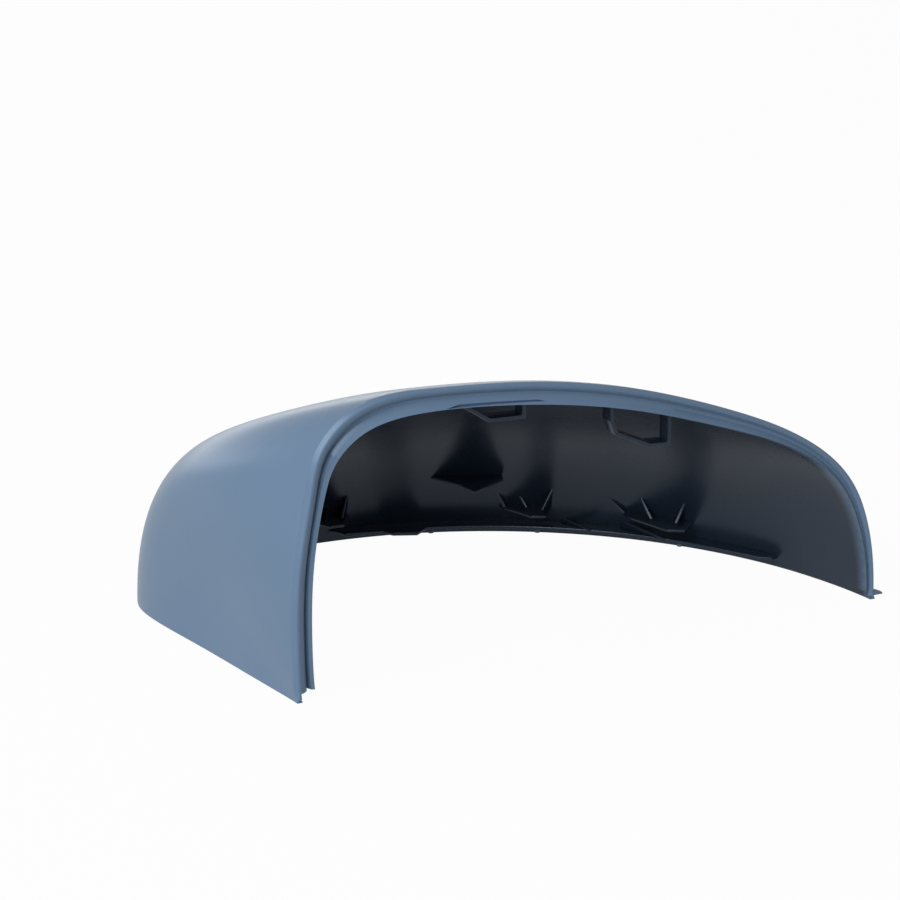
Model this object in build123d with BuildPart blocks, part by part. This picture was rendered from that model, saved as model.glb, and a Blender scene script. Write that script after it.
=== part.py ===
from build123d import *
from math import asin, atan2, cos, hypot, pi, radians, sin, sqrt
import os

# Skin outlines: the rim stands in the plane y = 0, the bottom edge lies in the plane z = 0
rim_width = 209.9
rim_height = 98.1
rim_crown = 43.5
roof_radius = 279.0
rim_corner = 30.0
end_lean = 6.5
tip_radius = 57.5
depth = 131.5
front_crown = 50.0
end_flare = 11.5
front_corner = 31.5

# How full the skin is between the two outlines, 2 being an ellipse
skin_fullness = 1.86
end_fullness = 2.5
roof_droop = 0.19
overhang = 3.0
overhang_rise = 0.7
foot = -2.0
section_angles = [0, 22.5, 45, 67.5, 90]

# Wall and the channel round the rim, as wide as these shares of its width beside the end wall
wall = 1.8
rim_lip = 2.0
groove_width = 1.3
lip = 1.5
rim_shares = [1.2, 1.25, 1.3, 1.35, 1.75, 1.9, 1.8, 1.6, 1.6, 1.5, 1.3, 1, 0.8, 0.5, 0.5]
channel_depth = 5.0
groove_depth = 2.0
end_gap = 3.0
bevel_depth = 1.2
recess_depth = 1.4
recess_ends = ((52, 90.5), (86.5, 88))
recess_top = (70, 91.4)
recess_bottom = (70, 89.5)
edge_round = 1.2

# Ledge along the bottom of the front wall
ledge_level = 4.6
ledge_thickness = 1.3
ledge_depth = 6.8

# Clip brackets, ribs and roof loops
shelf_level = 11.0
hood_level = 24.0
plate_thickness = 1.0
rib_thickness = 1.0
loop_front = 13.0
loop_length = 6.0
loop_bar = 1.4
pip_radius = 1.0
spur_length = 3.2


def arc(centre, radius, start, end, shares):
    """Points on an arc at these shares of its sweep, angles in radians."""
    angles = [start + (end - start) * share for share in shares]
    return [(centre[0] + radius * cos(a), centre[1] + radius * sin(a)) for a in angles]


def front_arc():
    """Centre and radius of the front wall's outline on the ground."""
    radius = ((rim_width - front_crown) ** 2 + depth**2) / (2 * depth)
    return (front_crown, depth - radius), radius


def base_keys(inset):
    """Bottom outline as (x, y): flared end wall, front corner, front arc to the tip."""
    centre, radius = front_arc()
    flare = radians(end_flare)
    along = (-sin(flare), cos(flare))
    inward = (cos(flare), sin(flare))
    gap = (front_corner * inward[0] - centre[0], front_corner * inward[1] - centre[1])
    half = along[0] * gap[0] + along[1] * gap[1]
    reach = sqrt(half**2 - hypot(*gap) ** 2 + (radius - front_corner) ** 2) - half
    corner = (reach * along[0] + front_corner * inward[0], reach * along[1] + front_corner * inward[1])
    turn = atan2(corner[1] - centre[1], corner[0] - centre[0])
    steps = (foot, reach / 3, reach * 2 / 3)
    end_wall = [(s * along[0] + inset * inward[0], s * along[1] + inset * inward[1]) for s in steps]
    bend = arc(corner, front_corner - inset, pi + flare, turn, (0, 1 / 3, 2 / 3))
    last = asin((foot - centre[1]) / (radius - inset))
    front = arc(centre, radius - inset, turn, last, (0, 0.1, 0.27, 0.44, 0.6, 0.74, 0.86, 0.955, 1))
    return end_wall + bend + front


def rim_keys(inset):
    """Rim outline as (x, z): leaning column, corner, roof arc, outer tip."""
    centre = (rim_crown, rim_height - roof_radius)
    corner_x = end_lean + rim_corner
    corner_z = centre[1] + sqrt((roof_radius - rim_corner) ** 2 - (corner_x - rim_crown) ** 2)
    tip_x = rim_width - tip_radius
    tip_z = centre[1] + sqrt((roof_radius - tip_radius) ** 2 - (tip_x - rim_crown) ** 2)
    turn = atan2(corner_z - centre[1], corner_x - rim_crown)
    last = atan2(tip_z - centre[1], tip_x - rim_crown)
    column = [(end_lean * abs(z / corner_z) ** 3 + inset, z) for z in (foot, corner_z / 3, corner_z * 2 / 3)]
    bend = arc((corner_x, corner_z), rim_corner - inset, pi, turn, (0, 1 / 3, 2 / 3))
    roof = arc(centre, roof_radius - inset, turn, last, (0, 0.1, 0.3, 0.55, 0.8, 1))
    tip = arc((tip_x, tip_z), tip_radius - inset, last, 0, (0.5, 1))
    return column + bend + roof + tip + [(rim_width - inset, foot)]


def even(inset):
    """The same inset all the way round."""
    return [inset] * len(rim_shares)


def rim_insets(width):
    """Insets that lie this far inside the outer lip of the rim."""
    return [rim_lip * max(share, 1) + width * share for share in rim_shares]


def section_points(angle, insets):
    """Skin points in the plane that stands at this angle to the ground, as (x, reach)."""
    c = cos(radians(angle))
    s = sin(radians(angle))
    points = []
    for i, inset in enumerate(insets):
        low = base_keys(inset)[i]
        high = rim_keys(inset)[i]
        share = min(max(i - 3, 0), 3) / 3
        fullness = end_fullness + (skin_fullness - end_fullness) * share
        low_reach = low[1] + overhang
        high_reach = high[1] + overhang + overhang_rise * share
        reach = ((c / low_reach) ** fullness + (s / high_reach) ** fullness) ** (-1 / fullness)
        droop = 1 - roof_droop * c * s**1.8
        blend = c**0.8
        points.append((low[0] * blend + high[0] * (1 - blend), reach * droop))
    return points


def block(insets):
    """Solid bounded by the skin set in by these amounts; it overhangs the rim and the bottom edge."""
    with BuildPart() as filled:
        for angle in section_angles:
            tilt = radians(angle)
            plane = Plane(origin=(0, -overhang, -overhang), x_dir=(1, 0, 0), z_dir=(0, -sin(tilt), cos(tilt)))
            with BuildSketch(plane):
                with BuildLine():
                    curve = Spline(*section_points(angle, insets))
                    Line(curve @ 1, curve @ 0)
                make_face()
        loft()
    return filled.part


def rim_slab(far, insets):
    """Front of a skin block, this deep behind the rim and clear of the bottom edge."""
    with BuildPart() as slab:
        add(block(insets))
        with BuildSketch(Plane.XZ.offset(-far)):
            with Locations((0, end_gap)):
                Rectangle(3 * rim_width, 2 * rim_height, align=(Align.CENTER, Align.MIN))
        extrude(amount=far + overhang, mode=Mode.INTERSECT)
    return slab.part


def shelf(level, outline):
    """Level plate; it is drawn past the wall, which it runs into."""
    with BuildPart() as made:
        with BuildSketch(Plane.XY.offset(level)):
            with BuildLine():
                Polyline(*outline, close=True)
            make_face()
        extrude(amount=-plate_thickness)
    return made.part


def rib(level, foot, root, top, rise):
    """Three-cornered rib: foot and root lie on a plate, the top leans against the wall, which it runs into."""
    toe = Vector(*foot, level)
    run = Vector(*root, level) - toe
    peak = Vector(*top, level + rise)
    plane = Plane(origin=toe, x_dir=run, z_dir=run.cross(peak - toe))
    peak = plane.to_local_coords(peak)
    sunk = -plate_thickness / 2
    past = run.length + 4
    with BuildPart() as made:
        with BuildSketch(plane):
            with BuildLine():
                Polyline((0, sunk), (0, 0.3), (peak.X, peak.Y), (past, peak.Y), (past, sunk), close=True)
            make_face()
        extrude(amount=rib_thickness / 2, both=True)
    return made.part


def roof_loop(outline):
    """Short sleeve under the roof, open to the rim and to the back."""
    with BuildPart() as made:
        with BuildSketch(Plane.XZ.offset(-loop_front - loop_length)):
            with BuildLine():
                Polyline(*outline, close=True)
            make_face()
            offset(amount=-loop_bar, mode=Mode.SUBTRACT)
        extrude(amount=loop_length)
    return made.part


# Channel round the rim: a ring with a groove, and a bevelled inner lip with a shallow recess in it
with BuildPart() as groove:
    add(rim_slab(groove_depth, rim_insets(0)))
    add(block(rim_insets(groove_width)), mode=Mode.SUBTRACT)
with BuildPart() as lip_core:
    for y, width in ((bevel_depth, groove_width - 0.2), (-bevel_depth, groove_width + 1.8 * lip)):
        with BuildSketch(Plane.XZ.offset(-y)):
            with BuildLine():
                curve = Spline(*[rim_keys(inset)[i] for i, inset in enumerate(rim_insets(width))])
                Line(curve @ 1, curve @ 0)
            make_face()
    loft(ruled=True)
with BuildPart() as bevel:
    add(rim_slab(bevel_depth, rim_insets(groove_width / 4)))
    add(lip_core.part, mode=Mode.SUBTRACT)
with BuildPart() as channel:
    add(rim_slab(channel_depth, even(wall / 2)))
    add([groove.part, bevel.part], mode=Mode.SUBTRACT)
    add(block(rim_insets(groove_width + lip)), mode=Mode.SUBTRACT)
    with BuildSketch(Plane.XZ.offset(-recess_depth)):
        with BuildLine():
            ThreePointArc(recess_ends[0], recess_top, recess_ends[1])
            ThreePointArc(recess_ends[1], recess_bottom, recess_ends[0])
        make_face()
    extrude(amount=recess_depth + overhang, mode=Mode.SUBTRACT)

# Ledge: follows the front wall, with a stepped end behind the end wall and a deeper tab beside it
centre, front_radius = front_arc()
ledge_radius = front_radius - wall - ledge_depth
ledge_start = pi / 2 - asin((94.5 - centre[0]) / ledge_radius)
ledge_end = pi / 2 - asin((176 - centre[0]) / ledge_radius)
ledge_arc = arc(centre, ledge_radius, ledge_start, ledge_end, (0, 0.5, 1))
with BuildPart() as ledge:
    with BuildSketch(Plane.XY.offset(ledge_level)):
        with BuildLine():
            ThreePointArc(*ledge_arc)
            Polyline(ledge_arc[2], (187.3, 40.8), (191, 38.8), (197.5, 40.8), (215, 60), (160, 140), (40, 150), (40, 130))
            Polyline((40, 130), (60, 129.5), (65, 126.5), (66.5, 122.5), (80, 119.5), (82, 116.3), (90, 113), ledge_arc[0])
        make_face()
    extrude(amount=-ledge_thickness)
ledge_ribs = [
    rib(ledge_level, (146, 89), (141, 100.4), (141, 100.4), 1.5),
    rib(ledge_level, (165.6, 70.8), (158.4, 86.5), (158.4, 86.5), 2.2),
]

# Clip brackets on the front wall, a pointed shelf above them
shelves = [
    shelf(shelf_level, [(55, 122), (58.5, 116), (63.3, 115.2), (68, 122), (70, 140), (55, 140)]),
    shelf(shelf_level, [(120.8, 107.3), (123.7, 102), (126, 95.5), (130.7, 93.3), (137, 102), (140, 120), (120, 125)]),
    shelf(shelf_level, [(156.3, 84.4), (157.1, 79.3), (163, 62.9), (168.4, 60.1), (175, 66.5), (185, 80), (165, 100)]),
    shelf(hood_level, [(95, 117), (102.5, 103), (104, 94.5), (118.5, 102.5), (122, 115), (100, 130)]),
]
shelf_ribs = [
    rib(shelf_level, (58.5, 120.5), (60.5, 125), (61.7, 126.4), 3.4),
    rib(shelf_level, (64.5, 121), (67, 124.5), (68.1, 123.8), 8.6),
    rib(shelf_level, (121.2, 107.4), (122.9, 111), (119, 109.8), 5.4),
    rib(shelf_level, (128, 103.8), (129.5, 107), (126.4, 106.8), 4),
    rib(shelf_level, (131.5, 99), (135.8, 101.8), (135.9, 99.5), 7.4),
    rib(shelf_level, (156.7, 84.2), (158.4, 87.8), (151.3, 88.8), 6.3),
    rib(shelf_level, (162.6, 74.5), (165.2, 80), (160.9, 79.8), 6.7),
    rib(shelf_level, (168.3, 67), (172, 71), (172, 67.9), 6.6),
]

# Two loops under the roof, close behind the rim
loops = [
    roof_loop([(63, 98), (63, 85.5), (72.5, 79), (85.5, 78.5), (85.5, 98)]),
    roof_loop([(115.6, 92), (115.6, 73), (117.5, 68), (130, 62), (138, 61.5), (138, 88)]),
]

# Small pips along the inside of the bottom edge
with BuildPart() as pips:
    with BuildSketch(Plane.XY):
        for x in (99, 133.5, 173):
            with Locations((x, centre[1] + sqrt((front_radius - wall) ** 2 - (x - centre[0]) ** 2))):
                Circle(pip_radius)
    extrude(amount=pip_radius)

with BuildPart() as cavity:
    add(block(even(wall)))
    add([channel.part, ledge.part, pips.part, *ledge_ribs, *shelves, *shelf_ribs, *loops], mode=Mode.SUBTRACT)

with BuildPart() as cover:
    add(block(even(0)))
    with BuildSketch(Plane.XY.offset(-2 * overhang)):
        Rectangle(3 * rim_width, 2 * depth, align=(Align.CENTER, Align.MIN))
    extrude(amount=2 * rim_height, mode=Mode.INTERSECT)
    fillet(faces().sort_by(Axis.Y)[0].edges().sort_by(SortBy.LENGTH)[-1], radius=edge_round)
    with BuildSketch(Plane.XY):
        Rectangle(3 * rim_width, 3 * depth)
    extrude(amount=2 * rim_height, mode=Mode.INTERSECT)
    add(cavity.part, mode=Mode.SUBTRACT)
    with BuildSketch(Plane(origin=(rim_width, 2.4, 0), x_dir=(1, 0, 0), z_dir=(0, -1, 0))):
        with BuildLine():
            Polyline((-1.5, 1), (spur_length, 1), (spur_length, 1.6), (1, 2.6), (-1.5, 3.2), close=True)
        make_face()
    extrude(amount=1.8)

# Placed with the middle of its footprint at the origin
box = cover.part.bounding_box()
with BuildPart() as mirror_cover:
    add(Pos(-box.center().X, -box.center().Y, 0) * cover.part)

mirror_cover.part.label = "mirror_cover"
os.makedirs("parts", exist_ok=True)
export_step(mirror_cover.part, "parts/mirror_cover.step")
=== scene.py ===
import math

import bmesh
import bpy
import numpy as np
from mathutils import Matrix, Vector


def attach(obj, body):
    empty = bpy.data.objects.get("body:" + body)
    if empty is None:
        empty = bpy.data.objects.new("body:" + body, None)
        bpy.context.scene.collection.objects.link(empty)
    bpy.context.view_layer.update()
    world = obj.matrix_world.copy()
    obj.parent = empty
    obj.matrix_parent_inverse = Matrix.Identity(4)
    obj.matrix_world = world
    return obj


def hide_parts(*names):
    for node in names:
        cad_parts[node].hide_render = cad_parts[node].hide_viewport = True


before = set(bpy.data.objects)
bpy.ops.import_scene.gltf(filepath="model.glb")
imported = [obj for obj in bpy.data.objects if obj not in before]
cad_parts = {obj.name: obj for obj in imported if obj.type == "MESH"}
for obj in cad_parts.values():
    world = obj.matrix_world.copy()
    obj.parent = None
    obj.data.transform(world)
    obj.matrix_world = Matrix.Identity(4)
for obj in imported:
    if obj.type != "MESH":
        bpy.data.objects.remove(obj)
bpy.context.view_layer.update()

# The finish: charcoal ABS as it comes from the mould, sprayed with a satin blue-grey primer on the outside
# and on the rim. The spray drifts a little way into the mouth; the trimmed bottom edge is left bare.
primed_moulding = bpy.data.materials.new("primed_moulding")
primed_moulding.use_nodes = True
nodes = primed_moulding.node_tree.nodes
links = primed_moulding.node_tree.links
shader = nodes["Principled BSDF"]
PLASTIC = (0.013, 0.021, 0.037, 1)
PLASTIC_CLOUD = (0.015, 0.024, 0.041, 1)
CUT_PLASTIC = (0.16, 0.17, 0.19, 1)
PRIMER = (0.122, 0.196, 0.302, 1)
PRIMER_CLOUD = (0.127, 0.203, 0.311, 1)
SCUFFED_PRIMER = (0.22, 0.29, 0.39, 1)
COOL_GLOSS = (0.72, 0.84, 1.0, 1)
drift_start, drift_end = -0.0660, -0.0605
cut_low, cut_high = 0.0001, 0.0006
grain_share = 0.12
relief_strength = 0.035
relief_height = 0.00012


def node(kind, **settings):
    """New node in the moulding's material, with its plain settings."""
    made = nodes.new(kind)
    for key, value in settings.items():
        setattr(made, key, value)
    return made


def wire(value, socket):
    """Joins an output to an input, or writes a constant into it."""
    if hasattr(value, "is_output"):
        links.new(value, socket)
    else:
        socket.default_value = value


def math_node(operation, a, b):
    """Output of one arithmetic step."""
    made = node("ShaderNodeMath", operation=operation)
    wire(a, made.inputs[0])
    wire(b, made.inputs[1])
    return made.outputs[0]


def ranged(value, low, high, to_low, to_high):
    """A value mapped smoothly from one range to another."""
    made = node("ShaderNodeMapRange", interpolation_type="SMOOTHSTEP")
    wire(value, made.inputs["Value"])
    sockets = ("From Min", "From Max", "To Min", "To Max")
    for socket, number in zip(sockets, (low, high, to_low, to_high)):
        made.inputs[socket].default_value = number
    return made.outputs["Result"]


def noise(scale, detail, roughness=0.5, stretch=None):
    """Noise over the part's own coordinates, in cells per metre."""
    made = node("ShaderNodeTexNoise")
    source = place.outputs["Object"]
    if stretch:
        squeeze = node("ShaderNodeMapping")
        squeeze.inputs["Scale"].default_value = stretch
        links.new(source, squeeze.inputs["Vector"])
        source = squeeze.outputs["Vector"]
    links.new(source, made.inputs["Vector"])
    made.inputs["Scale"].default_value = scale
    made.inputs["Detail"].default_value = detail
    made.inputs["Roughness"].default_value = roughness
    return made.outputs["Fac"]


def blend(share, a, b, kind="FLOAT"):
    """Mix of two numbers or two colours."""
    made = node("ShaderNodeMix", data_type=kind)
    first = {"FLOAT": 2, "RGBA": 6}[kind]
    wire(share, made.inputs[0])
    wire(a, made.inputs[first])
    wire(b, made.inputs[first + 1])
    return made.outputs[{"FLOAT": 0, "RGBA": 2}[kind]]


place = node("ShaderNodeTexCoord")
axes = node("ShaderNodeSeparateXYZ")
links.new(place.outputs["Object"], axes.inputs[0])
sprayed = node("ShaderNodeAttribute", attribute_name="primer").outputs["Fac"]
clouds = noise(38, 4)
grain = noise(3200, 2)
peel = noise(950, 3, 0.45)
scuffs = noise(60, 5, 0.7, (1, 6, 14))
drift_fade = ranged(axes.outputs["Y"], drift_start, drift_end, 0.7, 0.0)
drift = math_node("MULTIPLY", drift_fade, ranged(noise(420, 3), 0.25, 0.7, 0.7, 1.0))
cover_share = math_node("MAXIMUM", sprayed, drift)
cut_edge = ranged(axes.outputs["Z"], cut_low, cut_high, 1, 0)
trim = math_node("MULTIPLY", cut_edge, ranged(noise(300, 3), 0.35, 0.65, 0.0, 0.35))
plastic_tone = blend(ranged(clouds, 0.3, 0.7, 0, 1), PLASTIC, PLASTIC_CLOUD, "RGBA")
plastic_tone = blend(trim, plastic_tone, CUT_PLASTIC, "RGBA")
primer_tone = blend(ranged(clouds, 0.3, 0.7, 0, 1), PRIMER, PRIMER_CLOUD, "RGBA")
primer_tone = blend(ranged(scuffs, 0.62, 0.8, 0, 0.10), primer_tone, SCUFFED_PRIMER, "RGBA")
links.new(blend(cover_share, plastic_tone, primer_tone, "RGBA"), shader.inputs["Base Color"])
plastic_gloss = ranged(clouds, 0.3, 0.7, 0.25, 0.30)
primer_gloss = ranged(scuffs, 0.3, 0.75, 0.28, 0.33)
links.new(blend(cover_share, plastic_gloss, primer_gloss), shader.inputs["Roughness"])
relief = blend(sprayed, math_node("MULTIPLY", grain, grain_share), peel)
bump = node("ShaderNodeBump")
bump.inputs["Strength"].default_value = relief_strength
bump.inputs["Distance"].default_value = relief_height
links.new(relief, bump.inputs["Height"])
links.new(bump.outputs["Normal"], shader.inputs["Normal"])
shader.inputs["Specular Tint"].default_value = COOL_GLOSS

# The shell is one thin injection moulding of charcoal ABS, open at the mouth and below. Its skin is a family
# of curves that swing from the outline on the ground up and back to the rim, where its edge is rolled into a
# bead. The hollow follows the skin at an even wall. Sizes are in millimetres from the near foot of the rim.
MM = 0.001
PLACE = np.array((-97.4382, -65.5552, 0.0))
rim_width = 209.9
rim_height = 98.1
rim_crown = 43.5
roof_radius = 279.0
rim_corner = 30.0
end_lean = 6.5
tip_radius = 57.5
depth = 131.5
front_crown = 50.0
end_flare = math.radians(11.5)
front_corner = 31.5
skin_fullness = 1.86
end_fullness = 2.5
roof_droop = 0.19
overhang = 3.0
overhang_rise = 0.7
foot = -2.0
wall = 1.8
rim_lip = 2.0
groove_width = 1.3
lip = 1.5
rim_stations = (8, 45, 140, 205)
rim_shares = np.array((*(1.55,) * 4, 1.8, 1.9, 1.8, 1.6, 1.6, 1.5, 1.3, 1, 0.8, 0.5, 0.5))
bead_shares = np.array((0.62, 0.62, 0.6, 0.56, *(0.5,) * 7, 0.54, 0.57, 0.6, 0.6))
bead_round = 1.4
bead_fall = 2.2
bead_crest = 0.3
bead_side_limit = 0.3
tip_run_out = 0.45
step_parts = np.array(((0.3,), (0.7,)))
step_sink = 0.9
step_lift = -0.2
KEYS = 15
front_radius = ((rim_width - front_crown) ** 2 + depth**2) / (2 * depth)
front_centre = np.array((front_crown, depth - front_radius))


def sweep(centre, radius, start, end, shares):
    """Points on an arc at these shares of its sweep."""
    turn = start + (end - start) * np.asarray(shares)
    return np.column_stack((centre[0] + radius * np.cos(turn), centre[1] + radius * np.sin(turn)))


def bottom_keys(inset):
    """Bottom outline as (x, y): flared end wall, front corner, long front curve to the tip."""
    along = np.array((-math.sin(end_flare), math.cos(end_flare)))
    inward = np.array((math.cos(end_flare), math.sin(end_flare)))
    gap = front_corner * inward - front_centre
    half = along @ gap
    reach = math.sqrt(half**2 - gap @ gap + (front_radius - front_corner) ** 2) - half
    corner = reach * along + front_corner * inward
    turn = math.atan2(corner[1] - front_centre[1], corner[0] - front_centre[0])
    last = math.asin((foot - front_centre[1]) / (front_radius - inset))
    end_wall = [s * along + inset * inward for s in (foot, reach / 3, reach * 2 / 3)]
    bend = sweep(corner, front_corner - inset, math.pi + end_flare, turn, (0, 1 / 3, 2 / 3))
    shares = (0, 0.1, 0.27, 0.44, 0.6, 0.74, 0.86, 0.955, 1)
    return np.vstack((end_wall, bend, sweep(front_centre, front_radius - inset, turn, last, shares)))


def rim_keys(inset):
    """Rim outline as (x, z): leaning column, corner, roof arc, outer tip."""
    centre = (rim_crown, rim_height - roof_radius)
    corner_x = end_lean + rim_corner
    corner_z = centre[1] + math.sqrt((roof_radius - rim_corner) ** 2 - (corner_x - rim_crown) ** 2)
    tip_x = rim_width - tip_radius
    tip_z = centre[1] + math.sqrt((roof_radius - tip_radius) ** 2 - (tip_x - rim_crown) ** 2)
    turn = math.atan2(corner_z - centre[1], corner_x - rim_crown)
    last = math.atan2(tip_z - centre[1], tip_x - rim_crown)
    heights = (foot, corner_z / 3, corner_z * 2 / 3)
    column = [(end_lean * abs(z / corner_z) ** 3 + inset, z) for z in heights]
    bend = sweep((corner_x, corner_z), rim_corner - inset, math.pi, turn, (0, 1 / 3, 2 / 3))
    roof = sweep(centre, roof_radius - inset, turn, last, (0, 0.1, 0.3, 0.55, 0.8, 1))
    tip = sweep((tip_x, tip_z), tip_radius - inset, last, 0, (0.5, 1))
    return np.vstack((column, bend, roof, tip, [(rim_width - inset, foot)]))


def smooth_curve(points, at):
    """Values of a twice-smooth curve through points, at these shares of its length."""
    steps = np.sqrt(np.linalg.norm(np.diff(points, axis=0), axis=1))
    knots = np.concatenate(((0,), np.cumsum(steps))) / steps.sum()
    h = np.diff(knots)
    n = len(points)
    matrix = np.eye(n)
    right = np.zeros(points.shape)
    for k in range(1, n - 1):
        matrix[k, k - 1 : k + 2] = h[k - 1], 2 * (h[k - 1] + h[k]), h[k]
        right[k] = 6 * ((points[k + 1] - points[k]) / h[k] - (points[k] - points[k - 1]) / h[k - 1])
    bend = np.linalg.solve(matrix, right)
    k = np.clip(np.searchsorted(knots, at, side="right") - 1, 0, n - 2)
    a = ((knots[k + 1] - at) / h[k])[:, None]
    b = 1 - a
    curve = a * points[k] + b * points[k + 1]
    return curve + ((a**3 - a) * bend[k] + (b**3 - b) * bend[k + 1]) * (h[k] ** 2)[:, None] / 6


def skin(insets, at, angles):
    """Skin points as a grid over shares of the outline and angles of the section plane."""
    low = np.array([bottom_keys(inset)[i] for i, inset in enumerate(insets)])
    high = np.array([rim_keys(inset)[i] for i, inset in enumerate(insets)])
    share = np.clip(np.arange(KEYS) - 3, 0, 3) / 3
    fullness = end_fullness + (skin_fullness - end_fullness) * share
    grid = np.zeros((len(at), len(angles), 3))
    tiny = 1e-9
    for column, angle in enumerate(angles):
        c = max(math.cos(angle), tiny)
        s = max(math.sin(angle), tiny)
        shape = (c / (low[:, 1] + overhang)) ** fullness
        shape = shape + (s / (high[:, 1] + overhang + overhang_rise * share)) ** fullness
        reach = shape ** (-1 / fullness) * (1 - roof_droop * c * s**1.8)
        lowness = c**0.8
        across = low[:, 0] * lowness + high[:, 0] * (1 - lowness)
        curve = smooth_curve(np.column_stack((across, reach)), at)
        grid[:, column, 0] = curve[:, 0]
        grid[:, column, 1] = curve[:, 1] * c - overhang
        grid[:, column, 2] = curve[:, 1] * s - overhang
    return grid


def make_mesh(name, points, faces, painted=None):
    """Mesh object in the part's frame; painted faces go to the second slot until the primer is written."""
    mesh = bpy.data.meshes.new(name)
    mesh.from_pydata(((np.asarray(points) + PLACE) * MM).tolist(), [], faces)
    mesh.materials.append(primed_moulding)
    mesh.materials.append(primed_moulding)
    if painted is not None:
        mesh.polygons.foreach_set("material_index", [int(p) for p in painted])
    made = bpy.data.objects.new(name, mesh)
    bpy.context.scene.collection.objects.link(made)
    return made


def recalculated(made, merge=1e-7):
    """Merges coincident points and turns every face outwards."""
    edit = bmesh.new()
    edit.from_mesh(made.data)
    bmesh.ops.remove_doubles(edit, verts=edit.verts, dist=merge)
    bmesh.ops.dissolve_degenerate(edit, edges=edit.edges, dist=merge)
    bmesh.ops.recalc_face_normals(edit, faces=edit.faces)
    edit.to_mesh(made.data)
    edit.free()
    return made


def grid_faces(columns, rows):
    """Quads between neighbouring columns of a grid of points."""
    faces = []
    for c in range(columns - 1):
        for r in range(rows - 1):
            a = c * rows + r
            faces.append((a, a + 1, a + rows + 1, a + rows))
    return faces


def rim_insets(part):
    """Insets of a line on the rim: 0 at the foot of the bead, 1 at the inner edge."""
    whole_rim = rim_lip * np.maximum(rim_shares, 1) + (groove_width + lip) * rim_shares
    return whole_rim * (bead_shares + (1 - bead_shares) * part)


def along_rim(x, column, roof, tip):
    """A depth along the rim, from its values on the column, under the roof and at the tip."""
    return np.interp(x, rim_stations, (column, roof, roof, tip))


even_wall = np.full(KEYS, wall)
swing = np.radians(np.linspace(0, 90, 361))
whole = np.linspace(0, 1, 4001)
halfway = skin(np.zeros(KEYS), whole, [math.pi / 4])[:, 0, 1]
standing = whole[halfway > 0]
at = np.linspace(standing[0], standing[-1], 301)
profiles = skin(np.zeros(KEYS), at, swing)
bead_foot = skin(rim_insets(0), at, swing)
flange_middle = skin(rim_insets(0.5), at, swing)
rows = 110
crown = np.linspace(0, 1, 12)[1:]
outer_points = []
for profile, near, far in zip(profiles, bead_foot, flange_middle):
    first = np.interp(0, profile[:, 2], swing)
    last = max(np.interp(0, -profile[:, 1], swing), first)
    fine = np.linspace(first, last, 400)
    line = np.column_stack([np.interp(fine, swing, profile[:, k]) for k in range(3)])
    line[0, 2] = 0
    line[-1, 1] = 0
    run = np.concatenate(((0,), np.cumsum(np.linalg.norm(np.diff(line, axis=0), axis=1))))
    round_off = min(bead_round, bead_side_limit * run[-1])
    stops = np.linspace(0, run[-1] - round_off, rows)
    side = np.column_stack([np.interp(stops, run, line[:, k]) for k in range(3)])
    near = np.array([np.interp(0, -near[:, 1], near[:, k]) for k in range(3)])
    far = np.array([np.interp(0, -far[:, 1], far[:, k]) for k in range(3)])
    front = line[-1] + (near - line[-1]) * crown[:, None]
    fall = along_rim(near[0], bead_fall, bead_fall, tip_run_out * bead_fall)
    climb = round_off * (1 - crown / bead_crest) ** 2
    descent = fall * ((crown - bead_crest) / (1 - bead_crest)) ** 2
    front[:, 1] = np.where(crown < bead_crest, climb, descent)
    step = near + (far - near) * step_parts
    step[:, 1] = step_sink * fall, step_lift
    outer_points.append(np.vstack((side, front, step)))
outer_points = np.array(outer_points)
for end in (0, -1):
    outer_points[end] = (outer_points[end, 0, 0], 0, 0)
columns, rows = outer_points.shape[:2]
faces = grid_faces(columns, rows)
faces.append(tuple(c * rows + rows - 1 for c in range(columns)))
faces.append(tuple(c * rows for c in range(columns)))
bare_bottom = [1] * (len(faces) - 1) + [0]
outer = recalculated(make_mesh("outer_skin", outer_points.reshape(-1, 3), faces, bare_bottom))

inner_at = np.linspace(0, 1, 301)
inner_points = skin(even_wall, inner_at, np.radians(np.linspace(0, 90, 91)))
columns, rows = inner_points.shape[:2]
faces = grid_faces(columns, rows)
faces += [(r, r + 1, (columns - 1) * rows + r + 1, (columns - 1) * rows + r) for r in range(rows - 1)]
faces.append(tuple(c * rows for c in range(columns)))
faces.append(tuple(c * rows + rows - 1 for c in range(columns)))
hollow = recalculated(make_mesh("hollow", inner_points.reshape(-1, 3), faces))

# The rim is a channel moulded round the mouth, inside the bead: a groove that takes the edge of the mirror
# housing, and a sloping flange with one shallow recess above the near sleeve. On the column the groove is a
# deep slot and the flange is set back; towards the tip the groove runs out. It is primed like the outside.
channel_depth = 5.0
groove_depth = 2.3
slot_depth = 3.8
slot_shares = np.array((0.42, 0.42, 0.42, 0.42, 0.38, 0.3) + (0.2,) * 9)
flange_set_back = 1.8
flange_dip = 0.3
flange_part = 0.6
flange_flush = -0.1
front_reach = -1.5
first_primed, last_primed = 1, 4
end_gap = 3.0
recess_depth = 1.7
recess_height = 2.2
recess_left = (52, 90.5)
recess_right = (86.5, 88)
recess_top = (70, 91.4)
recess_bottom = (70, 89.5)


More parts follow.
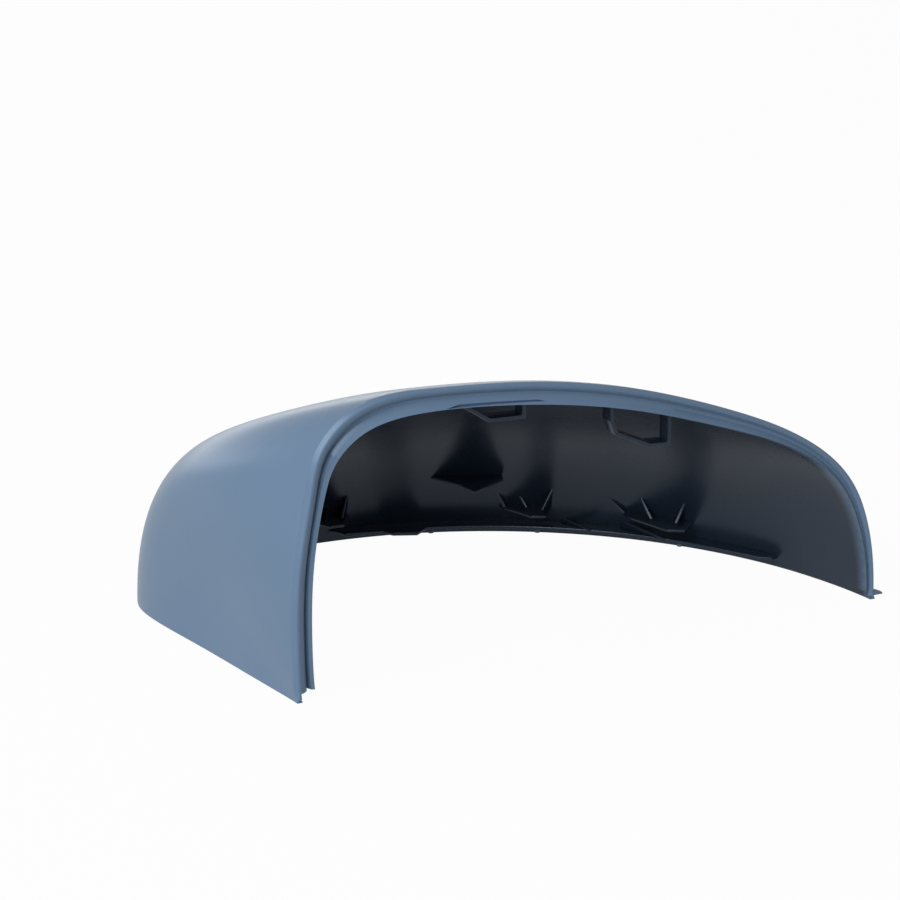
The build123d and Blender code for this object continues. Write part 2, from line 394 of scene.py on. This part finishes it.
def rim_line(insets, depths, count):
    """Line on an inset skin at depths behind the rim, from one end of the channel to the other."""
    bands = skin(insets, np.linspace(0, 1, 1001), np.radians(np.linspace(10, 90, 321)))
    line = []
    for band in bands:
        behind = along_rim(np.interp(0, -band[:, 1], band[:, 0]), *depths)
        line.append([np.interp(-behind, -band[:, 1], band[:, k]) for k in range(3)])
    line = np.array(line)
    above = np.flatnonzero(line[:, 2] > end_gap)
    steps = np.linspace(above[0], above[-1], count)
    line = np.column_stack([np.interp(steps, np.arange(len(line)), line[:, k]) for k in range(3)])
    line[(0, -1), 2] = end_gap
    return line


section = [
    (even_wall / 2, (front_reach,) * 3),
    (rim_insets(0), (front_reach,) * 3),
    (rim_insets(0), (slot_depth, groove_depth, tip_run_out * groove_depth)),
    (rim_insets(slot_shares), (slot_depth, 0.95 * groove_depth, tip_run_out * groove_depth)),
    (rim_insets(flange_part), (flange_set_back + flange_dip, 0.5 * groove_depth, 0.2 * groove_depth)),
    (rim_insets(1), (flange_set_back, flange_flush, flange_flush)),
    (rim_insets(1), (channel_depth,) * 3),
    (even_wall / 2, (channel_depth,) * 3),
]
ring = np.stack([rim_line(insets, depths, 361) for insets, depths in section], axis=1)
columns, rows = ring.shape[:2]
faces = []
painted = []
for c in range(columns - 1):
    for r in range(rows):
        a = c * rows + r
        b = c * rows + (r + 1) % rows
        faces.append((a, b, b + rows, a + rows))
        painted.append(first_primed <= r <= last_primed)
faces.append(tuple(range(rows)))
faces.append(tuple((columns - 1) * rows + r for r in range(rows)))
painted += [1, 1]
channel = recalculated(make_mesh("rim_channel", ring.reshape(-1, 3), faces, painted))


def through(first, middle, last, count):
    """Points on the arc through three points."""
    shares = np.linspace(0, 1, count)[:, None]
    first, middle, last = np.array(first), np.array(middle), np.array(last)
    bow = middle - (first + last) / 2
    return first + (last - first) * shares + 4 * bow * shares * (1 - shares)


def rounded(made, radius, sharper_than=-1.0):
    """Rounds the edges of a piece that are sharper than an angle."""
    edit = bmesh.new()
    edit.from_mesh(made.data)
    edges = [edge for edge in edit.edges if edge.calc_face_angle(0) > sharper_than]
    bmesh.ops.bevel(
        edit, geom=edges, offset=radius * MM, segments=2, profile=0.5, affect="EDGES", clamp_overlap=True
    )
    edit.to_mesh(made.data)
    edit.free()
    return made


def prism(name, outline, lift, painted=False, soften=0.0):
    """Closed solid swept straight from a flat outline of 3-D points."""
    outline = np.asarray(outline, float)
    n = len(outline)
    faces = [tuple(range(n)), tuple(range(n, 2 * n))]
    faces += [(k, (k + 1) % n, n + (k + 1) % n, n + k) for k in range(n)]
    points = np.vstack((outline, outline + np.asarray(lift, float)))
    made = recalculated(make_mesh(name, points, faces, [int(painted)] * (n + 2)))
    return rounded(made, soften) if soften else made


upper_edge = through(recess_left, recess_top, recess_right, 25)
lower_edge = through(recess_right, recess_bottom, recess_left, 25)
lens = np.vstack((upper_edge, lower_edge[1:-1]))
rise = lens[:, 1] - np.interp(lens[:, 0], *zip(recess_left, recess_right))
floor_y = recess_depth * (1 - rise / recess_height)
lens = np.column_stack((lens[:, 0], np.full(len(lens), -overhang), lens[:, 1]))
recess_floor = np.column_stack((0 * rise, overhang + floor_y, 0 * rise))
recess = prism("flange_recess", lens, recess_floor, painted=True)
cut = channel.modifiers.new("recess", "BOOLEAN")
cut.operation = "DIFFERENCE"
cut.solver = "EXACT"
cut.object = recess

# A thin ledge of the same plastic runs along the foot of the front wall and stiffens it. It is moulded with
# the wall, stepped behind the end wall, deeper in a tab beside it, and braced by two low ribs.
ledge_level = 4.6
ledge_thickness = 1.3
ledge_depth = 6.8
ledge_ends = (94.5, 176)
ledge_rounding = 0.4
rib_thickness = 1.0
rib_toe = 0.3
rib_root = 4.0
rib_rounding = 0.15
plate_thickness = 1.0
ledge_radius = front_radius - wall - ledge_depth
ledge_turn = [math.acos((x - front_crown) / ledge_radius) for x in ledge_ends]
ledge_outline = np.vstack((
    sweep(front_centre, ledge_radius, *ledge_turn, np.linspace(0, 1, 40)),
    [(187.3, 40.8), (191, 38.8), (197.5, 40.8), (215, 60), (160, 140), (40, 150), (40, 130)],
    [(60, 129.5), (65, 126.5), (66.5, 122.5), (80, 119.5), (82, 116.3), (90, 113)],
))
ledge_top = np.column_stack((ledge_outline, np.full(len(ledge_outline), ledge_level)))
fittings = [channel, prism("ledge", ledge_top, (0, 0, -ledge_thickness), soften=ledge_rounding)]


def rib(level, foot, root, top, rise):
    """Three-cornered rib: foot and root lie on a plate, and the top runs into the wall."""
    toe = np.array((*foot, level), float)
    run = np.array((*root, level)) - toe
    climb = np.array((*top, level + rise)) - toe
    length = np.linalg.norm(run)
    along = run / length
    across = np.cross(run, climb)
    across = across / np.linalg.norm(across)
    up = np.cross(across, along)
    sunk = -plate_thickness / 2
    end = length + rib_root
    steps = ((0, sunk), (0, rib_toe), (climb @ along, climb @ up), (end, climb @ up), (end, sunk))
    outline = [toe + along * s + up * h - across * rib_thickness / 2 for s, h in steps]
    return prism("rib", outline, across * rib_thickness, soften=rib_rounding)


fittings.append(rib(ledge_level, (146, 89), (141, 100.4), (141, 100.4), 1.5))
fittings.append(rib(ledge_level, (165.6, 70.8), (158.4, 86.5), (158.4, 86.5), 2.2))

# Three clip brackets stand on the front wall and hold the cover to the housing. Each is a level shelf with
# upright ribs, moulded with the wall, and a plain pointed shelf juts out above the middle one.
shelf_level = 11.0
hood_level = 24.0
shelf_rounding = 0.35
shelves = [
    (shelf_level, [(55, 122), (58.5, 116), (63.3, 115.2), (68, 122), (70, 140), (55, 140)]),
    (
        shelf_level,
        [(120.8, 107.3), (123.7, 102), (126, 95.5), (130.7, 93.3), (137, 102), (140, 120), (120, 125)],
    ),
    (
        shelf_level,
        [(156.3, 84.4), (157.1, 79.3), (163, 62.9), (168.4, 60.1), (175, 66.5), (185, 80), (165, 100)],
    ),
    (hood_level, [(95, 117), (102.5, 103), (104, 94.5), (118.5, 102.5), (122, 115), (100, 130)]),
]
for level, outline in shelves:
    shelf_top = [(x, y, level) for x, y in outline]
    fittings.append(prism("shelf", shelf_top, (0, 0, -plate_thickness), soften=shelf_rounding))
bracket_ribs = [
    ((58.5, 120.5), (60.5, 125), (61.7, 126.4), 3.4),
    ((64.5, 121), (67, 124.5), (68.1, 123.8), 8.6),
    ((121.2, 107.4), (122.9, 111), (119, 109.8), 5.4),
    ((128, 103.8), (129.5, 107), (126.4, 106.8), 4),
    ((131.5, 99), (135.8, 101.8), (135.9, 99.5), 7.4),
    ((156.7, 84.2), (158.4, 87.8), (151.3, 88.8), 6.3),
    ((162.6, 74.5), (165.2, 80), (160.9, 79.8), 6.7),
    ((168.3, 67), (172, 71), (172, 67.9), 6.6),
]
fittings += [rib(shelf_level, *sizes) for sizes in bracket_ribs]

# Two short sleeves hang under the roof, close behind the rim, and take hooks of the housing. They are
# moulded with the shell, thin-walled, and open to the front and the back.
loop_front = 13.0
loop_length = 6.0
loop_bar = 1.4
loop_rounding = 0.3
loop_corner = 0.3


def shrunk(outline, amount):
    """Outline moved inwards by the same distance on every side."""
    outline = np.asarray(outline, float)
    n = len(outline)
    following = np.roll(outline, -1, axis=0)
    area = sum(a[0] * b[1] - b[0] * a[1] for a, b in zip(outline, following))
    turn = 1 if area > 0 else -1
    sides = []
    for k in range(n):
        along = following[k] - outline[k]
        along = along / np.linalg.norm(along)
        sides.append((outline[k] + turn * amount * np.array((-along[1], along[0])), along))
    corners = []
    for k in range(n):
        (p, d), (q, e) = sides[k - 1], sides[k]
        s = np.linalg.solve(np.column_stack((d, -e)), q - p)
        corners.append(p + s[0] * d)
    return np.array(corners)


def roof_loop(outline):
    """Short sleeve under the roof, open at both ends."""
    window = shrunk(outline, loop_bar)
    n = len(outline)
    points = []
    for y in (loop_front, loop_front + loop_length):
        for loop in (outline, window):
            points += [(x, y, z) for x, z in loop]
    faces = []
    for k in range(n):
        m = (k + 1) % n
        faces.append((k, m, n + m, n + k))
        faces.append((2 * n + k, 2 * n + m, 3 * n + m, 3 * n + k))
        faces.append((k, m, 2 * n + m, 2 * n + k))
        faces.append((n + k, n + m, 3 * n + m, 3 * n + k))
    return rounded(recalculated(make_mesh("roof_loop", points, faces)), loop_rounding, loop_corner)


near_loop = [(63, 98), (63, 85.5), (72.5, 79), (85.5, 78.5), (85.5, 98)]
far_loop = [(115.6, 92), (115.6, 73), (117.5, 68), (130, 62), (138, 61.5), (138, 88)]
fittings += [roof_loop(near_loop), roof_loop(far_loop)]

# Three small pips stand along the inside of the bottom edge, moulded with the wall, and hold the cover off
# the housing; a spur at the outer end of the rim hooks behind it.
pip_stations = (99, 133.5, 173)
pip_radius = 1.0
pip_height = 1.0
pip_sides = 24
spur_length = 3.2
spur_root = 1.5
spur_front = 0.6
spur_width = 1.8
spur_rounding = 0.15
pip_places = []
for x in pip_stations:
    inside = front_centre[1] + math.sqrt((front_radius - wall) ** 2 - (x - front_crown) ** 2)
    pip_places.append((x, inside, 0))
pip_tree = bpy.data.node_groups.new("edge_pips", "GeometryNodeTree")
pip_tree.interface.new_socket("Places", in_out="INPUT", socket_type="NodeSocketGeometry")
radius_socket = pip_tree.interface.new_socket("Radius", in_out="INPUT", socket_type="NodeSocketFloat")
length_socket = pip_tree.interface.new_socket("Length", in_out="INPUT", socket_type="NodeSocketFloat")
pip_tree.interface.new_socket("Pips", in_out="OUTPUT", socket_type="NodeSocketGeometry")
given = pip_tree.nodes.new("NodeGroupInput")
pin = pip_tree.nodes.new("GeometryNodeMeshCylinder")
pin.inputs["Vertices"].default_value = pip_sides
spread = pip_tree.nodes.new("GeometryNodeInstanceOnPoints")
realized = pip_tree.nodes.new("GeometryNodeRealizeInstances")
dressed = pip_tree.nodes.new("GeometryNodeSetMaterial")
dressed.inputs["Material"].default_value = primed_moulding
result = pip_tree.nodes.new("NodeGroupOutput")
pip_tree.links.new(given.outputs["Radius"], pin.inputs["Radius"])
pip_tree.links.new(given.outputs["Length"], pin.inputs["Depth"])
pip_tree.links.new(given.outputs["Places"], spread.inputs["Points"])
pip_tree.links.new(pin.outputs["Mesh"], spread.inputs["Instance"])
pip_tree.links.new(spread.outputs["Instances"], realized.inputs["Geometry"])
pip_tree.links.new(realized.outputs["Geometry"], dressed.inputs["Geometry"])
pip_tree.links.new(dressed.outputs["Geometry"], result.inputs["Pips"])
pip_points = make_mesh("pip_places", pip_places, [])
growth = pip_points.modifiers.new("pips", "NODES")
growth.node_group = pip_tree
growth[radius_socket.identifier] = pip_radius * MM
growth[length_socket.identifier] = 2 * pip_height * MM
graph = bpy.context.evaluated_depsgraph_get()
pips = bpy.data.objects.new("pips", bpy.data.meshes.new_from_object(pip_points.evaluated_get(graph)))
bpy.context.scene.collection.objects.link(pips)
bpy.data.objects.remove(pip_points)
fittings.append(pips)
spur_steps = ((-spur_root, 1), (spur_length, 1), (spur_length, 1.6), (1, 2.6), (-spur_root, 3.2))
spur_side = [(rim_width + s, spur_front, h) for s, h in spur_steps]
spur = prism("spur", spur_side, (0, spur_width, 0), painted=True, soften=spur_rounding)

# The cover leaves the mould as one piece. The recess is taken out of the channel, the fittings out of the
# hollow, and the hollow out of the skin, so that wall and fittings stay standing in one solid; the spur is
# joined on. The finish goes on last, with the primer on the faces that were marked as painted.
smooth_angle = math.radians(32)


def apply_booleans(base, operation, tool):
    """Result of one exact boolean as a new object; the operands are used up."""
    step = base.modifiers.new(operation, "BOOLEAN")
    step.operation = operation
    step.solver = "EXACT"
    if isinstance(tool, list):
        group = bpy.data.collections.new("operands")
        for item in tool:
            group.objects.link(item)
        step.operand_type = "COLLECTION"
        step.collection = group
    else:
        step.object = tool
    graph = bpy.context.evaluated_depsgraph_get()
    mesh = bpy.data.meshes.new_from_object(base.evaluated_get(graph))
    made = bpy.data.objects.new(base.name, mesh)
    bpy.context.scene.collection.objects.link(made)
    used = (tool if isinstance(tool, list) else [tool]) + [base]
    for item in used:
        bpy.data.objects.remove(item)
    return made


graph = bpy.context.evaluated_depsgraph_get()
cut_mesh = bpy.data.meshes.new_from_object(channel.evaluated_get(graph))
channel.modifiers.clear()
channel.data = cut_mesh
bpy.data.objects.remove(recess)
hollow = apply_booleans(hollow, "DIFFERENCE", fittings)
shell = apply_booleans(outer, "DIFFERENCE", hollow)
shell = apply_booleans(shell, "UNION", spur)
shell.name = "shell"
primer_share = shell.data.attributes.new("primer", "FLOAT", "FACE")
index = np.zeros(len(shell.data.polygons), dtype=np.int32)
shell.data.polygons.foreach_get("material_index", index)
primer_share.data.foreach_set("value", index.astype(np.float32))
shell.data.polygons.foreach_set("material_index", np.zeros(len(index), dtype=np.int32))
shell.data.materials.clear()
shell.data.materials.append(primed_moulding)
shell.data.polygons.foreach_set("use_smooth", np.ones(len(index), dtype=bool))
shell.data.set_sharp_from_angle(angle=smooth_angle)
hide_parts("mirror_cover")
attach(shell, "root")

# The studio is a plain pale floor before a white backdrop, under a soft even dome, with a broad softbox on
# the left and a low strip lamp behind. The lens sees the white itself, shiny surfaces see a share of it, and
# it sheds no light of its own on matt ones. Sizes are in metres.
floor_half = 3.0
floor_level = -0.0002
FLOOR_GREY = (0.6, 0.6, 0.6, 1)
floor_seen, floor_mirrored = 0.97, 0.5
dome_level, dome_white = 0.27, 1.0
dome_seen, dome_mirrored = 1.0, 0.6
floor_mesh = bpy.data.meshes.new("floor")
floor_signs = ((-1, -1), (1, -1), (1, 1), (-1, 1))
floor_corners = [(a * floor_half, b * floor_half, floor_level) for a, b in floor_signs]
floor_mesh.from_pydata(floor_corners, [], [(0, 1, 2, 3)])
floor = bpy.data.objects.new("floor", floor_mesh)
bpy.context.scene.collection.objects.link(floor)


def backdrop_share(tree, seen, mirrored):
    """How much of the white backdrop the lens and shiny surfaces see; 0 for the light it sheds."""
    path = tree.nodes.new("ShaderNodeLightPath")
    share = None
    rays = (("Is Camera Ray", seen), ("Is Glossy Ray", mirrored), ("Is Transmission Ray", mirrored))
    for ray, level in rays:
        part = tree.nodes.new("ShaderNodeMath")
        part.operation = "MULTIPLY"
        tree.links.new(path.outputs[ray], part.inputs[0])
        part.inputs[1].default_value = level
        if share:
            either = tree.nodes.new("ShaderNodeMath")
            either.operation = "MAXIMUM"
            tree.links.new(share, either.inputs[0])
            tree.links.new(part.outputs[0], either.inputs[1])
            part = either
        share = part.outputs[0]
    return share


white = bpy.data.materials.new("white_floor")
white.use_nodes = True
white.cycles.emission_sampling = "NONE"
tree = white.node_tree
paper = tree.nodes["Principled BSDF"]
paper.inputs["Base Color"].default_value = FLOOR_GREY
paper.inputs["Roughness"].default_value = 0.8
glow = tree.nodes.new("ShaderNodeEmission")
mixed = tree.nodes.new("ShaderNodeMixShader")
tree.links.new(backdrop_share(tree, floor_seen, floor_mirrored), mixed.inputs[0])
tree.links.new(paper.outputs[0], mixed.inputs[1])
tree.links.new(glow.outputs[0], mixed.inputs[2])
tree.links.new(mixed.outputs[0], tree.nodes["Material Output"].inputs[0])
floor_mesh.materials.append(white)

world = bpy.data.worlds.new("studio")
bpy.context.scene.world = world
world.use_nodes = True
world.cycles.sampling_method = "NONE"
tree = world.node_tree
sky = tree.nodes["Background"]
sky.inputs["Color"].default_value = (1, 1, 1, 1)
level = tree.nodes.new("ShaderNodeMapRange")
level.inputs["To Min"].default_value = dome_level
level.inputs["To Max"].default_value = dome_white
tree.links.new(backdrop_share(tree, dome_seen, dome_mirrored), level.inputs["Value"])
tree.links.new(level.outputs[0], sky.inputs["Strength"])


def softbox(name, spot, aim, width, height, watts):
    """Broad lamp at a spot, turned towards an aim."""
    lamp = bpy.data.lights.new(name, "AREA")
    lamp.shape = "RECTANGLE"
    lamp.size = width
    lamp.size_y = height
    lamp.energy = watts
    made = bpy.data.objects.new(name, lamp)
    bpy.context.scene.collection.objects.link(made)
    made.location = spot
    made.rotation_mode = "QUATERNION"
    made.rotation_quaternion = (Vector(aim) - Vector(spot)).to_track_quat("-Z", "Y")


softbox("left_softbox", (-1.2, -0.8, 0.9), (0, 0, 0.04), 1.4, 1.4, 25.5)
softbox("back_softbox", (-0.2, 1.5, 0.22), (0, 0, 0.06), 2.4, 0.38, 4.5)

# The camera stands about 25 degrees to the left of the rim's axis and 20 above the floor, 1.2 m away on a
# long lens. The shift puts the cover where it lies in the square frame, right of the middle and below it.
target = np.array((105.0, 50.0, 40.0)) + PLACE
azimuth = math.radians(25.1535)
elevation = math.radians(20.0)
distance = 1200
frame_pixels = 900
focal_pixels = 3580
aim_right, aim_down = 532.2, 487
flat = math.cos(elevation)
back = np.array((-math.sin(azimuth) * flat, -math.cos(azimuth) * flat, math.sin(elevation)))
camera_data = bpy.data.cameras.new("camera")
camera = bpy.data.objects.new("camera", camera_data)
bpy.context.scene.collection.objects.link(camera)
camera.location = Vector((target + distance * back) * MM)
camera.rotation_mode = "QUATERNION"
camera.rotation_quaternion = Vector(-back).to_track_quat("-Z", "Y")
camera_data.sensor_width = 36
camera_data.lens = focal_pixels / frame_pixels * camera_data.sensor_width
camera_data.shift_x = (frame_pixels / 2 - aim_right) / frame_pixels
camera_data.shift_y = (aim_down - frame_pixels / 2) / frame_pixels
camera_data.clip_start = 0.01
bpy.context.scene.camera = camera

bpy.context.scene.view_settings.view_transform = "Standard"
